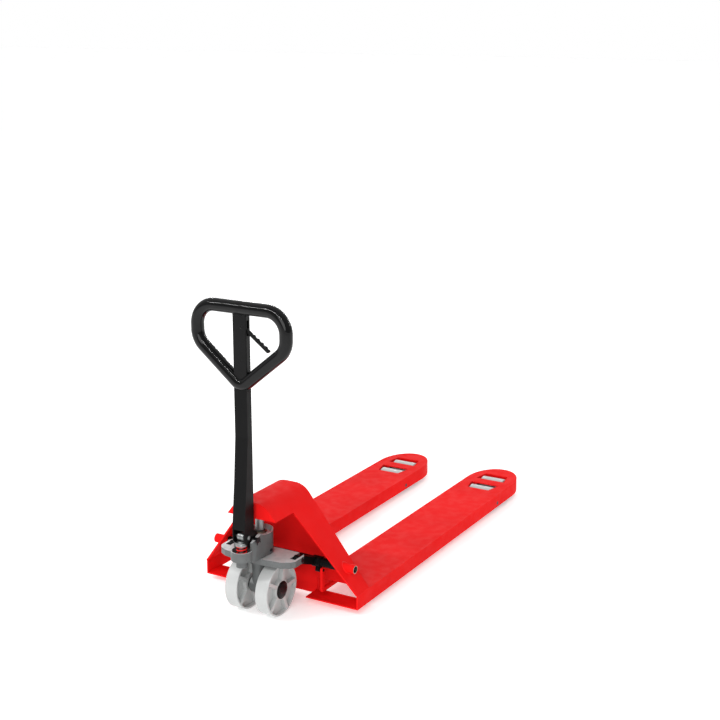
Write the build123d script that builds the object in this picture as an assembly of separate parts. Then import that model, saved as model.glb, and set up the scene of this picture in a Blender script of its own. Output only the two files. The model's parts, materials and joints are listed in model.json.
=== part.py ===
from build123d import *
import math
import os

# Hand pallet truck. Millimetres, +X towards the fork tips, +Y to the operator's
# left when facing the forks, +Z up. Origin on the floor under the middle of the
# bounding box. Every piece is one node, written to parts/NAME.step.

# ---- driving dimensions ----
HEEL_X = -505.0            # heel of the forks
FORK_LENGTH = 1235.0
FORK_WIDTH = 176.0
OVERALL_WIDTH = 540.0
FORK_TOP = 64.3            # lowered height
FORK_BOTTOM = 19.3
SHEET = 4.0                # fork and wall plate
HOOD_SHEET = 5.0
LIFT = 90.0

TIP_X = HEEL_X + FORK_LENGTH
FORK_MID_Y = (OVERALL_WIDTH - FORK_WIDTH) / 2
FORK_IN_Y = FORK_MID_Y - FORK_WIDTH / 2
FORK_OUT_Y = FORK_MID_Y + FORK_WIDTH / 2
NOSE_LENGTH = 130.0
WALL_X = HEEL_X + 63.0     # front face of the back wall
WALL_BACK_X = WALL_X + 5.0
WALL_BOTTOM = 9.0
HEEL_OPENING_TOP = 62.0

HOOD_TOP = 350.0
HOOD_CORNER = (46.0, HOOD_TOP)   # where the flat top would meet the sloping leg
HOOD_RADIUS = 60.0
LEG_FOOT_Z = 65.4
HOOD_SKIRT_Z = 303.0
HOOD_FRONT_X = HEEL_X - 143.0
LEG_FRONT_LOW_X = HEEL_X - 2.0
LEG_FRONT_HIGH_X = HEEL_X - 47.0

STEER_X = HEEL_X - 100.0   # steering axis, also the ram's axis
WHEEL_R = 79.3
WHEEL_IN_Y = 31.7
WHEEL_OUT_Y = 73.6
WHEEL_AXLE_R = 10.0
HUB_R, RIM_INNER_R, POCKET_DEPTH = 30.0, 73.5, 13.0
HUB_CAP_R = 27.0
SPOKES, SPOKE_START, SPOKE_HALF_WIDTH = 5, 4.0, 5.5

PLATE_LOW, PLATE_TOP = 165.0, 184.0    # thrust plate with its two wings
JOURNAL_R = 28.0
CASTING_LOW = 185.8
CASTING_HALF_WIDTH = 38.7
CUP_RIM = 257.0
CUP_FLOOR = 246.0
CUP_RIM_R, CUP_FLOOR_R = 36.4, 28.5
PLUNGER_X = STEER_X - 93.0
LOBE_R = 32.0
LOBE_LOW, LOBE_TOP = 194.0, 222.0
FEET_FLOOR = 209.0         # floor of the slot that the handle's feet swing in
PLUNGER_R = 8.0
VALVE_X, VALVE_Z, SPINDLE_R = STEER_X - 22.0, 208.0, 4.0
FILLER_X, FILLER_Z = STEER_X - 6.0, 224.0
RAM_R = 13.0
RAM_LOW, RAM_TOP = 124.0, 337.0

PIVOT_X, PIVOT_Z, PIVOT_R = STEER_X - 66.0, 249.0, 7.5   # handle pivot
PUSH_X, PUSH_Z = PIVOT_X - 23.0, PIVOT_Z + 13.0          # roller that pushes the plunger
PUSH_R = 12.0
PLUNGER_TOP = PUSH_Z - PUSH_R - 0.6
PLUNGER_FOOT = 206.0
CAP_R, CAP_SKIRT_Z = 17.3, 236.0
POCKET_R, POCKET_Z = 28.5, LOBE_LOW + 3.0
GUIDE_R, GUIDE_TOP, GUIDE_SEAT = 11.5, 215.0, 209.0
COLUMN_HALF_WIDTH = 21.3
COLUMN_SHEET = 3.5
COLUMN_BACK_X = HEEL_X - 160.0
COLUMN_FRONT_X = HEEL_X - 182.0

LOOP_X = HEEL_X - 172.0
LOOP_TUBE_R = 19.0
LOOP_HALF_WIDTH = 147.5
LOOP_TOP_Z = 925.5
LOOP_SIDE_LOW_Z = 822.0
LOOP_VERTEX_Z = 700.4
LOOP_BEND, LOOP_VERTEX_BEND = 60.0, 29.0
LEVER_Y, LEVER_Z, LEVER_PIN_R = -8.0, 873.0, 3.0
LEVER_TIP = (-93.0, 811.0)
LEVER_TOP_EDGE = [(0.0, 4.5), (0.3, 4.5), (0.6, 5.5), (0.85, 6.5), (0.97, 6.0), (1.0, 3.0)]
LEVER_FINGER_EDGE = [(0.0, 4.5), (0.3, 4.5), (0.4, 6.5), (0.52, 5.0), (0.64, 7.0), (0.76, 5.0),
                     (0.88, 7.0), (0.97, 6.5), (1.0, 4.0)]
ROD_Y, ROD_R, ROD_TOP = 6.0, 2.5, 864.3

TORSION_X, TORSION_Z = HEEL_X + 25.4, 133.0
SHAFT_R, TORSION_TUBE_R, BOSS_R = 10.0, 14.0, 14.0
SHAFT_END_Y = 240.0
BOSS_END_Y = 248.0
WING_PIN_X, WING_PIN_Z, WING_PIN_R = HEEL_X - 75.0, 174.5, 5.0
ROCKER_IN_Y, ROCKER_OUT_Y = 106.0, 120.0
HUB_OUTER_R = 17.0
EYE_PLAY = 1.6             # round the wing pin, for the pin's sideways travel in the eye

ARM_X, ARM_Z, ARM_PIN_R = HEEL_X + 979.0, 33.5, 6.5      # load arm pivot in the fork
BOGIE_X, ROLLER_R = HEEL_X + 1085.0, 31.5
ROLLER_HALF_STEP = 49.5
ROLLER_HALF_WIDTH = 42.0
BOGIE_PLATE_Y, ARM_PLATE_Y = 43.0, 49.0    # inner faces, from the middle of the fork
AXLE_R = 6.0
CRANK_R = 18.5             # load arm pivot to push bar pin
BAR_IN_Y, BAR_OUT_Y = 136.0, 144.0
BAR_Z0, BAR_Z1 = 43.0, 55.0
BAR_END_R = 6.0

RUNNING = 0.05             # radial clearance of a turning fit
LOOSE = 0.4

# ---- angles of the lifting linkage, from the lift ----
ROCKER_REACH = TORSION_X - WING_PIN_X
ROCKER_RISE = WING_PIN_Z - TORSION_Z
ROCKER_START = math.degrees(math.atan2(ROCKER_RISE, ROCKER_REACH))
ROCKER_END = math.degrees(math.atan2(ROCKER_RISE - LIFT, ROCKER_REACH))
ROCKER_TURN = ROCKER_START - ROCKER_END
ARM_LENGTH = math.hypot(BOGIE_X - ARM_X, ARM_Z - ROLLER_R)
ARM_START = math.degrees(math.asin((ARM_Z - ROLLER_R) / ARM_LENGTH))
ARM_TURN = math.degrees(math.asin((ARM_Z - ROLLER_R + LIFT) / ARM_LENGTH)) - ARM_START
BAR_TRAVEL = 2 * CRANK_R * math.sin(math.radians(ARM_TURN / 2))
LUG_R = BAR_TRAVEL / (2 * math.sin(math.radians(ROCKER_TURN / 2)))
LUG_X = TORSION_X - BAR_TRAVEL / 2
LUG_Z = TORSION_Z - LUG_R * math.cos(math.radians(ROCKER_TURN / 2))
CRANK_X = ARM_X - BAR_TRAVEL / 2
CRANK_Z = ARM_Z + CRANK_R * math.cos(math.radians(ARM_TURN / 2))
BAR_PIN_R = 3.5


# ---- small helpers ----
def block(x0, x1, y0, y1, z0, z1):
    middle = Pos((x0 + x1) / 2, (y0 + y1) / 2, (z0 + z1) / 2)
    return middle * Box(x1 - x0, y1 - y0, z1 - z0)


def disc_y(x, z, radius, y0, y1):
    return Pos(x, (y0 + y1) / 2, z) * Rot(90, 0, 0) * Cylinder(radius, y1 - y0)


def disc_x(y, z, radius):
    """A pin across the thickness of the handle's column."""
    middle = Pos((COLUMN_FRONT_X + COLUMN_BACK_X) / 2, y, z)
    return middle * Rot(0, 90, 0) * Cylinder(radius, COLUMN_BACK_X - COLUMN_FRONT_X)


def disc_z(x, y, radius, z0, z1):
    return Pos(x, y, (z0 + z1) / 2) * Cylinder(radius, z1 - z0)


def ring_y(x, z, outer, inner, y0, y1):
    return disc_y(x, z, outer, y0, y1) - disc_y(x, z, inner, y0 - 1, y1 + 1)


def ring_z(x, y, outer, inner, z0, z1):
    return disc_z(x, y, outer, z0, z1) - disc_z(x, y, inner, z0 - 1, z1 + 1)


def plate_x(outline, x0, x1):
    """A plate from a (y, z) outline."""
    face = make_face(Polyline(*outline, close=True))
    return extrude(Plane.YZ.offset(x0) * face, x1 - x0)


def plate_y(outline, y0, y1):
    """A plate from an (x, z) outline."""
    face = make_face(Polyline(*outline, close=True))
    return extrude(Plane.XZ.offset(-y1) * face, y1 - y0)


def plate_z(outline, z0, z1):
    """A plate from an (x, y) outline."""
    face = make_face(Polyline(*outline, close=True))
    return extrude(Pos(0, 0, z0) * face, z1 - z0)


def link_y(start, end, radius, y0, y1):
    """A bar with round ends between two (x, z) points."""
    run, rise = end[0] - start[0], end[1] - start[1]
    length = math.hypot(run, rise)
    nx, nz = -rise / length * radius, run / length * radius
    corners = [(start[0] + nx, start[1] + nz), (end[0] + nx, end[1] + nz)]
    corners += [(end[0] - nx, end[1] - nz), (start[0] - nx, start[1] - nz)]
    bar = plate_y(corners, y0, y1)
    return bar + disc_y(*start, radius, y0, y1) + disc_y(*end, radius, y0, y1)


def mirrored(shape):
    return shape.mirror(Plane.XZ)


NODES = {}


def add(name, shape):
    NODES[name] = shape


def add_pair(name, left):
    """Write a left piece and its mirror image as two nodes."""
    add(name + "_left", left)
    add(name + "_right", mirrored(left))


def add_group(name, solids):
    add(name, Compound(children=list(solids)))


def add_two(name, left):
    """Write a left piece and its mirror image as one node of two solids."""
    add_group(name, [left, mirrored(left)])


# ---- chassis ----
def fork_outline(inset):
    """Plan of the left fork with its elliptical nose, inset by a wall."""
    half = FORK_WIDTH / 2 - inset
    nose_x = TIP_X - NOSE_LENGTH
    body = Pos((WALL_BACK_X + nose_x) / 2, 0) * Rectangle(nose_x - WALL_BACK_X, 2 * half)
    nose = Pos(nose_x, 0) * Ellipse(NOSE_LENGTH - inset, half)
    return Pos(0, FORK_MID_Y) * (body + nose)


def roller_slot(x0, width0, x1, width1):
    outline = [(x0, FORK_MID_Y - width0 / 2), (x1, FORK_MID_Y - width1 / 2)]
    outline += [(x1, FORK_MID_Y + width1 / 2), (x0, FORK_MID_Y + width0 / 2)]
    return plate_z(outline, FORK_TOP - SHEET - 1, FORK_TOP + 1)


def fork():
    height = FORK_TOP - FORK_BOTTOM
    outer = extrude(Pos(0, 0, FORK_BOTTOM) * fork_outline(0), height)
    hollow = extrude(Pos(0, 0, FORK_BOTTOM) * fork_outline(SHEET), height - SHEET)
    hollow += block(WALL_BACK_X - 1, WALL_BACK_X + 10, FORK_IN_Y + SHEET,
                    FORK_OUT_Y - SHEET, FORK_BOTTOM, FORK_TOP - SHEET)
    shape = outer - hollow
    shape -= roller_slot(HEEL_X + 1003, 80, HEEL_X + 1063, 106)
    shape -= roller_slot(HEEL_X + 1105, 107, HEEL_X + 1165, 86)
    return shape - disc_y(ARM_X, ARM_Z, ARM_PIN_R, FORK_IN_Y - 1, FORK_OUT_Y + 1)


def leg_slope():
    return (HOOD_SKIRT_Z - LEG_FOOT_Z) / (FORK_OUT_Y - 83.0)


def hood_face(inset):
    """Cross-section of the hood and legs, as a filled (y, z) face."""
    slope = leg_slope()
    drop = inset * math.hypot(1, slope)
    corner_y = HOOD_CORNER[0] - inset * (math.hypot(1, slope) - 1) / slope
    foot_y = FORK_OUT_Y + (LEG_FOOT_Z - drop - FORK_TOP) / slope
    outline = Polyline((-foot_y, FORK_TOP), (-corner_y, HOOD_TOP - inset),
                       (corner_y, HOOD_TOP - inset), (foot_y, FORK_TOP), close=True)
    face = make_face(outline)
    shoulders = face.vertices().group_by(Axis.Y)[-1]
    return fillet(shoulders, HOOD_RADIUS - inset)


def hood_band():
    span = WALL_X - HOOD_FRONT_X
    outer = extrude(Plane.YZ.offset(HOOD_FRONT_X) * hood_face(0), span)
    inner = extrude(Plane.YZ.offset(HOOD_FRONT_X) * hood_face(HOOD_SHEET), span)
    side = [(WALL_X, FORK_TOP), (LEG_FRONT_LOW_X, FORK_TOP),
            (LEG_FRONT_HIGH_X, HOOD_SKIRT_Z), (HOOD_FRONT_X, HOOD_SKIRT_Z),
            (HOOD_FRONT_X, HOOD_TOP + 5), (WALL_X, HOOD_TOP + 5)]
    width = FORK_OUT_Y
    band = (outer - inner) & plate_y(side, -width, width)
    return band - disc_y(TORSION_X, TORSION_Z, BOSS_R, -width, width)


def hood_front():
    plate = extrude(Plane.YZ.offset(HOOD_FRONT_X) * hood_face(HOOD_SHEET), HOOD_SHEET)
    return plate & block(HOOD_FRONT_X, HOOD_FRONT_X + HOOD_SHEET, -200, 200,
                         HOOD_SKIRT_Z, HOOD_TOP)


def back_wall():
    upper = extrude(Plane.YZ.offset(WALL_X) * hood_face(0), WALL_BACK_X - WALL_X)
    upper &= block(WALL_X, WALL_BACK_X, -FORK_OUT_Y, FORK_OUT_Y, FORK_TOP, HOOD_TOP)
    inner_y = FORK_OUT_Y - SHEET
    lintel = block(WALL_X, WALL_BACK_X, -inner_y, inner_y, HEEL_OPENING_TOP, FORK_TOP)
    middle = block(WALL_X, WALL_BACK_X, -FORK_IN_Y, FORK_IN_Y, WALL_BOTTOM, HEEL_OPENING_TOP)
    return upper + lintel + middle


def heel_plate():
    """Floor and outer side of the fork's heel, in front of the back wall."""
    floor = block(HEEL_X, WALL_X, FORK_IN_Y - 3, FORK_OUT_Y - SHEET,
                  FORK_BOTTOM, FORK_BOTTOM + SHEET)
    floor += block(WALL_X, WALL_BACK_X, FORK_IN_Y + SHEET, FORK_OUT_Y - SHEET,
                   FORK_BOTTOM, FORK_BOTTOM + SHEET)
    side = block(HEEL_X, WALL_BACK_X, FORK_OUT_Y - SHEET, FORK_OUT_Y, FORK_BOTTOM, FORK_TOP)
    return floor + side


def torsion_boss():
    boss = disc_y(TORSION_X, TORSION_Z, BOSS_R, 200, BOSS_END_Y)
    return boss - disc_y(TORSION_X, TORSION_Z, SHAFT_R + 2, 199, BOSS_END_Y + 1)


def torsion_bush():
    return ring_y(TORSION_X, TORSION_Z, SHAFT_R + 2, SHAFT_R + RUNNING, 200, BOSS_END_Y)


def arm_pivot_pin():
    return disc_y(ARM_X, ARM_Z, ARM_PIN_R, FORK_IN_Y, FORK_OUT_Y)


def ram_seat():
    seat = disc_z(STEER_X, 0, 16.8, RAM_TOP - 6, HOOD_TOP - HOOD_SHEET)
    return seat - disc_z(STEER_X, 0, RAM_R + LOOSE, RAM_TOP - 7, RAM_TOP + LOOSE)


def make_chassis():
    add_pair("fork", fork())
    add("hood", hood_band())
    add("hood_front", hood_front())
    add("back_wall", back_wall())
    add_two("heel_plates", heel_plate())
    add_two("torsion_bosses", torsion_boss())
    add_two("torsion_bushes", torsion_bush())
    add_two("arm_pivot_pins", arm_pivot_pin())
    add("ram_seat", ram_seat())


# ---- thrust plate: stays level, neither steers nor lifts ----
def thrust_plate():
    front, back = HEEL_X - 147.0, HEEL_X - 50.0
    half = [(front, 0), (front + 1, 50), (front + 7, 97), (front + 20, 120),
            (front + 35, 130), (back - 18, 130), (back - 8, 124), (back, 118), (back, 0)]
    other = [(x, -y) for x, y in reversed(half) if y]
    plate = plate_z(half + other, PLATE_LOW, PLATE_TOP)
    plate -= disc_z(STEER_X, 0, JOURNAL_R + RUNNING, PLATE_LOW - 1, PLATE_TOP + 1)
    slot = block(HEEL_X - 103, back + 1, ROCKER_IN_Y - 2, ROCKER_OUT_Y + 2,
                 PLATE_LOW - 1, PLATE_TOP + 1)
    plate = plate - slot - mirrored(slot)
    return plate - disc_y(WING_PIN_X, WING_PIN_Z, WING_PIN_R, -131, 131)


def wing_pin():
    return disc_y(WING_PIN_X, WING_PIN_Z, WING_PIN_R, ROCKER_IN_Y - 12, 131)


def make_base():
    pin = wing_pin()
    bored = thrust_plate()
    middle = block(WING_PIN_X - 8, WING_PIN_X + 8, -(ROCKER_IN_Y - 12), ROCKER_IN_Y - 12,
                   PLATE_LOW, PLATE_TOP)
    middle -= disc_z(STEER_X, 0, JOURNAL_R + RUNNING, PLATE_LOW - 1, PLATE_TOP + 1)
    add("thrust_plate", bored + middle)
    add_group("wing_pins", [pin, mirrored(pin)])
    add("thrust_washer", ring_z(STEER_X, 0, 37, JOURNAL_R + RUNNING, PLATE_TOP, PLATE_TOP + 1.5))


# ---- rocker: turns on the chassis, held down by the wings as the chassis rises ----
def rocker_arm():
    """Front arm with a long eye, so the wing pin can move along it."""
    reach = math.hypot(ROCKER_REACH, ROCKER_RISE)
    ux, uz = -ROCKER_REACH / reach, ROCKER_RISE / reach
    hub = (TORSION_X, TORSION_Z)

    def along(distance):
        return (hub[0] + ux * distance, hub[1] + uz * distance)

    shape = link_y(hub, along(reach + 3), 12, ROCKER_IN_Y, ROCKER_OUT_Y)
    shape += disc_y(*hub, HUB_OUTER_R, ROCKER_IN_Y, ROCKER_OUT_Y)
    eye = link_y(along(ROCKER_REACH - 1), along(reach + 4.5), WING_PIN_R + EYE_PLAY, 100, 125)
    return shape - eye - disc_y(*hub, TORSION_TUBE_R, 100, 125)


def push_lug():
    y0, y1 = ROCKER_OUT_Y, BAR_IN_Y - 2
    lug = link_y((TORSION_X, TORSION_Z), (LUG_X, LUG_Z), 7.5, y0, y1)
    lug += disc_y(TORSION_X, TORSION_Z, HUB_OUTER_R, y0, y1)
    lug -= disc_y(TORSION_X, TORSION_Z, TORSION_TUBE_R, y0 - 1, y1 + 1)
    return lug + disc_y(LUG_X, LUG_Z, BAR_PIN_R, y1, BAR_OUT_Y + 2)


def make_rocker():
    add("torsion_shaft", disc_y(TORSION_X, TORSION_Z, SHAFT_R, -SHAFT_END_Y, SHAFT_END_Y))
    add("torsion_tube", ring_y(TORSION_X, TORSION_Z, TORSION_TUBE_R, SHAFT_R, -199.5, 199.5))
    add_pair("rocker_arm", rocker_arm())
    add_pair("push_lug", push_lug())


# ---- push bars and the load arms, bogies and rollers at the tips ----
def push_bar():
    """Cranked flat bar: down from the rocker lug, then along inside the fork."""
    leg = link_y((LUG_X, LUG_Z), (LUG_X, BAR_Z0 + 6), BAR_END_R, BAR_IN_Y, BAR_OUT_Y)
    bar = block(LUG_X, CRANK_X, BAR_IN_Y, BAR_OUT_Y, BAR_Z0, BAR_Z1)
    bar += link_y((CRANK_X, CRANK_Z), (CRANK_X, CRANK_Z + 2), BAR_END_R, BAR_IN_Y, BAR_OUT_Y)
    lug_drop = LUG_R - (TORSION_Z - LUG_Z)
    crank_rise = CRANK_R - (CRANK_Z - ARM_Z)
    eye_r = BAR_PIN_R + LOOSE
    eyes = link_y((LUG_X, LUG_Z + 0.1), (LUG_X, LUG_Z - lug_drop), eye_r, 130, 150)
    eyes += link_y((CRANK_X, CRANK_Z - 0.1), (CRANK_X, CRANK_Z + crank_rise), eye_r, 130, 150)
    return leg + bar - eyes


def load_arm():
    """Two side plates on a cross tube, with the crank pin for the push bar."""
    outer = ARM_PLATE_Y + 6
    shape = ring_y(ARM_X, ARM_Z, 8.8, ARM_PIN_R + RUNNING, FORK_MID_Y - outer, FORK_MID_Y + outer)
    for y0 in (FORK_MID_Y - outer, FORK_MID_Y + ARM_PLATE_Y):
        shape += link_y((ARM_X, ARM_Z), (BOGIE_X, ROLLER_R), 13, y0, y0 + 6)
    shape += link_y((ARM_X, ARM_Z), (CRANK_X, CRANK_Z), 7, FORK_MID_Y - outer, BAR_IN_Y - 1.5)
    shape += disc_y(CRANK_X, CRANK_Z, BAR_PIN_R, FORK_MID_Y - outer, BAR_OUT_Y + 2)
    shape -= disc_y(ARM_X, ARM_Z, ARM_PIN_R + RUNNING, FORK_IN_Y, FORK_OUT_Y)
    return shape - disc_y(BOGIE_X, ROLLER_R, AXLE_R, FORK_IN_Y, FORK_OUT_Y)


def bogie_pin():
    reach = ARM_PLATE_Y + 8
    return disc_y(BOGIE_X, ROLLER_R, AXLE_R, FORK_MID_Y - reach, FORK_MID_Y + reach)


def bogie():
    """Tandem frame: two plates joined by a tube that turns on the bogie pin."""
    front, back = BOGIE_X + ROLLER_HALF_STEP, BOGIE_X - ROLLER_HALF_STEP
    outer = BOGIE_PLATE_Y + 5
    shape = disc_y(BOGIE_X, ROLLER_R, 10, FORK_MID_Y - outer, FORK_MID_Y + outer)
    for y0 in (FORK_MID_Y - outer, FORK_MID_Y + BOGIE_PLATE_Y):
        shape += link_y((back, ROLLER_R), (front, ROLLER_R), 12, y0, y0 + 5)
    shape -= disc_y(BOGIE_X, ROLLER_R, AXLE_R + RUNNING, FORK_IN_Y, FORK_OUT_Y)
    for x in (front, back):
        shape -= disc_y(x, ROLLER_R, AXLE_R, FORK_IN_Y, FORK_OUT_Y)
    return shape


def roller_axle(x):
    reach = BOGIE_PLATE_Y + 5.5
    return disc_y(x, ROLLER_R, AXLE_R, FORK_MID_Y - reach, FORK_MID_Y + reach)


def load_roller(x):
    y0, y1 = FORK_MID_Y - ROLLER_HALF_WIDTH, FORK_MID_Y + ROLLER_HALF_WIDTH
    roller = disc_y(x, ROLLER_R, ROLLER_R, y0, y1)
    roller = chamfer(roller.edges().filter_by(GeomType.CIRCLE), 2)
    roller -= ring_y(x, ROLLER_R, 24, 13, y0 - 1, y0 + 3)
    roller -= ring_y(x, ROLLER_R, 24, 13, y1 - 3, y1 + 1)
    return roller - disc_y(x, ROLLER_R, AXLE_R + RUNNING, y0 - 1, y1 + 1)


def make_load_ends():
    front, back = BOGIE_X + ROLLER_HALF_STEP, BOGIE_X - ROLLER_HALF_STEP
    add_pair("push_bar", push_bar())
    add_pair("load_arm", load_arm())
    add_pair("bogie_pin", bogie_pin())
    add_pair("bogie", bogie())
    axles = [roller_axle(front), roller_axle(back)]
    add_group("roller_axles_left", axles)
    add_group("roller_axles_right", [mirrored(axle) for axle in axles])
    add_pair("load_roller_front", load_roller(front))
    add_pair("load_roller_back", load_roller(back))


# ---- pump: steers with the wheels and the handle ----
def casting_outline():
    half = CASTING_HALF_WIDTH
    return [(STEER_X, half), (PLUNGER_X + 22, half - 4), (PLUNGER_X + 6, LOBE_R - 1),
            (PLUNGER_X + 6, -LOBE_R + 1), (PLUNGER_X + 22, -half + 4), (STEER_X, -half)]


def pump_casting():
    body = plate_z(casting_outline(), CASTING_LOW + 1, CUP_RIM + 4)
    body += disc_z(STEER_X, 0, CASTING_HALF_WIDTH, CASTING_LOW, CUP_RIM + 4)
    # the top slopes down to the front and dips beside the cup
    ramp = [(STEER_X - 47, CUP_RIM + 4), (PLUNGER_X + 6, PIVOT_Z - 3),
            (PLUNGER_X - 2, PIVOT_Z - 3), (PLUNGER_X - 2, CUP_RIM + 9),
            (STEER_X - 47, CUP_RIM + 9)]
    body -= plate_y(ramp, -50, 50)
    body -= block(STEER_X - 42, STEER_X + 50, -50, 50, CUP_RIM, CUP_RIM + 9)
    body -= disc_y(STEER_X - 6, CUP_RIM + 95, 101, -50, 50)
    lobe = disc_z(PLUNGER_X, 0, LOBE_R, LOBE_LOW, LOBE_TOP)
    boss = disc_z(PLUNGER_X, 0, 17, 172, LOBE_LOW)
    neck = disc_z(STEER_X, 0, JOURNAL_R, 150, CASTING_LOW + 1)
    neck += disc_z(STEER_X, 0, 25, 76, 151)
    neck += disc_y(STEER_X, WHEEL_R, 25, -25, 25)
    body = body + lobe + boss + neck
    # cup round the ram, and the ram's own bore
    body -= Pos(STEER_X, 0, (CUP_FLOOR + CUP_RIM) / 2) * Cone(CUP_FLOOR_R, CUP_RIM_R,
                                                               CUP_RIM - CUP_FLOOR)
    body -= disc_z(STEER_X, 0, CUP_RIM_R, CUP_RIM - 0.01, CUP_RIM + 9)
    body -= disc_z(STEER_X, 0, RAM_R + RUNNING, RAM_LOW - 2, CUP_FLOOR + 1)
    # room for the handle's feet between the cheeks
    body -= block(PLUNGER_X - 9, PIVOT_X + 26.5, -25, 25, FEET_FLOOR, CUP_RIM + 9)
    body -= disc_y(PIVOT_X, PIVOT_Z, PIVOT_R, -40, 40)
    # spring pocket and the plunger's bore with its guide tube
    body -= disc_z(PLUNGER_X, 0, POCKET_R, POCKET_Z, LOBE_TOP + 1)
    body += disc_z(PLUNGER_X, 0, GUIDE_R, POCKET_Z, GUIDE_SEAT)
    body -= disc_z(PLUNGER_X, 0, PLUNGER_R + RUNNING, 175, GUIDE_TOP + 1)
    # side bores for the lowering valve's spindle and the filler plug
    body -= disc_y(VALVE_X, VALVE_Z, SPINDLE_R + RUNNING, 20, CASTING_HALF_WIDTH + 1)
    body -= disc_y(FILLER_X, FILLER_Z, 4, 28, CASTING_HALF_WIDTH + 1)
    body -= ring_z(STEER_X, 0, JOURNAL_R + 1, JOURNAL_R - 2, PLATE_LOW - 4, PLATE_LOW - 1.5)
    return body - disc_y(STEER_X, WHEEL_R, WHEEL_AXLE_R, -40, 40)


def retaining_ring():
    return ring_z(STEER_X, 0, JOURNAL_R + 4, JOURNAL_R - 2, PLATE_LOW - 4, PLATE_LOW - 1.5)


def ram_gland():
    shape = ring_z(STEER_X, 0, 20, RAM_R + RUNNING, CUP_FLOOR, CUP_FLOOR + 3)
    return shape + ring_z(STEER_X, 0, 17, RAM_R + RUNNING, CUP_FLOOR + 3, CUP_FLOOR + 6)


def ram():
    rod = disc_z(STEER_X, 0, RAM_R, RAM_LOW, RAM_TOP)
    return chamfer(rod.edges().filter_by(GeomType.CIRCLE), 1.5)


def plunger():
    cap = disc_z(PLUNGER_X, 0, CAP_R, CAP_SKIRT_Z, PLUNGER_TOP)
    cap = chamfer(cap.edges().group_by(Axis.Z)[-1], 2)
    cap -= disc_z(PLUNGER_X, 0, CAP_R - 1, CAP_SKIRT_Z - 1, PLUNGER_TOP - 3)
    return cap + disc_z(PLUNGER_X, 0, PLUNGER_R, PLUNGER_FOOT, PLUNGER_TOP - 3)


def plunger_spring():
    return ring_z(PLUNGER_X, 0, CAP_R - 1.4, 12.4, POCKET_Z + 0.2, PLUNGER_TOP - 3.2)


def valve_lever():
    """Small lever on the left side that opens the lowering valve."""
    y0, y1 = CASTING_HALF_WIDTH + 0.5, CASTING_HALF_WIDTH + 4.5
    lever = link_y((VALVE_X, VALVE_Z), (VALVE_X - 30, VALVE_Z - 5), 5.5, y0, y1)
    return lever + disc_y(VALVE_X, VALVE_Z, SPINDLE_R, 21, y1 + 2)


def filler_plug():
    head = Pos(FILLER_X, CASTING_HALF_WIDTH + 2.5, FILLER_Z) * Rot(90, 0, 0)
    plug = head * extrude(RegularPolygon(7.5, 6), 2.5, both=True)
    return plug + disc_y(FILLER_X, FILLER_Z, 4, 30, CASTING_HALF_WIDTH + 1)


def spoke(angle):
    bar = block(0, WHEEL_R, WHEEL_IN_Y, WHEEL_OUT_Y, -SPOKE_HALF_WIDTH, SPOKE_HALF_WIDTH)
    return Rot(0, -angle, 0) * bar


def wheel_pockets():
    """The hollows between hub, rim and spokes, on both faces."""
    hollow = ring_y(0, 0, RIM_INNER_R, HUB_R, WHEEL_IN_Y - 1, WHEEL_OUT_Y + 1)
    hollow -= block(-100, 100, WHEEL_IN_Y + POCKET_DEPTH, WHEEL_OUT_Y - POCKET_DEPTH, -100, 100)
    for step in range(SPOKES):
        hollow -= spoke(SPOKE_START + step * 360 / SPOKES)
    return Pos(STEER_X, 0, WHEEL_R) * hollow


def steer_wheel():
    wheel = disc_y(STEER_X, WHEEL_R, WHEEL_R, WHEEL_IN_Y, WHEEL_OUT_Y)
    wheel = fillet(wheel.edges().filter_by(GeomType.CIRCLE), 2)
    wheel -= wheel_pockets()
    wheel -= disc_y(STEER_X, WHEEL_R, 20, WHEEL_IN_Y - 1, WHEEL_IN_Y + 12)
    wheel -= disc_y(STEER_X, WHEEL_R, 20, WHEEL_OUT_Y - 14, WHEEL_OUT_Y + 1)
    return wheel - disc_y(STEER_X, WHEEL_R, 15, WHEEL_IN_Y - 1, WHEEL_OUT_Y + 1)


def wheel_bearing(y0):
    return ring_y(STEER_X, WHEEL_R, 20, WHEEL_AXLE_R + RUNNING, y0, y0 + 12)


def hub_cap():
    cap = disc_y(STEER_X, WHEEL_R, HUB_CAP_R, WHEEL_OUT_Y, WHEEL_OUT_Y + 4.5)
    cap = fillet(cap.edges().group_by(Axis.Y)[-1], 3.5)
    skirt = ring_y(STEER_X, WHEEL_R, 20, 17, WHEEL_OUT_Y - 2, WHEEL_OUT_Y)
    return cap + skirt


def make_pump():
    add("pump_casting", pump_casting())
    add("retaining_ring", retaining_ring())
    add("ram_gland", ram_gland())
    add("handle_pivot_pin", disc_y(PIVOT_X, PIVOT_Z, PIVOT_R, -39.5, 39.5))
    add("steer_axle", disc_y(STEER_X, WHEEL_R, WHEEL_AXLE_R, -72.5, 72.5))
    add("ram", ram())
    add("plunger", plunger())
    add("plunger_spring", plunger_spring())
    add("plunger_gland", ring_z(PLUNGER_X, 0, GUIDE_R, PLUNGER_R + RUNNING, GUIDE_SEAT, GUIDE_TOP))
    add("valve_lever", valve_lever())
    add("filler_plug", filler_plug())
    add_pair("steer_wheel", steer_wheel())
    bearings = [wheel_bearing(WHEEL_IN_Y), wheel_bearing(WHEEL_OUT_Y - 14)]
    add_group("wheel_bearings_left", bearings)
    add_group("wheel_bearings_right", [mirrored(bearing) for bearing in bearings])
    add_pair("hub_cap", hub_cap())


# ---- handle ----
def loop_path():
    half = LOOP_HALF_WIDTH
    corners = [(half, LOOP_TOP_Z), (half, LOOP_SIDE_LOW_Z), (0, LOOP_VERTEX_Z),
               (-half, LOOP_SIDE_LOW_Z), (-half, LOOP_TOP_Z)]
    radii = [LOOP_BEND, LOOP_BEND, LOOP_VERTEX_BEND, LOOP_BEND, LOOP_BEND]
    points = [(LOOP_X, y, z) for y, z in corners]
    return FilletPolyline(*points, radius=radii, close=True)


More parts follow.
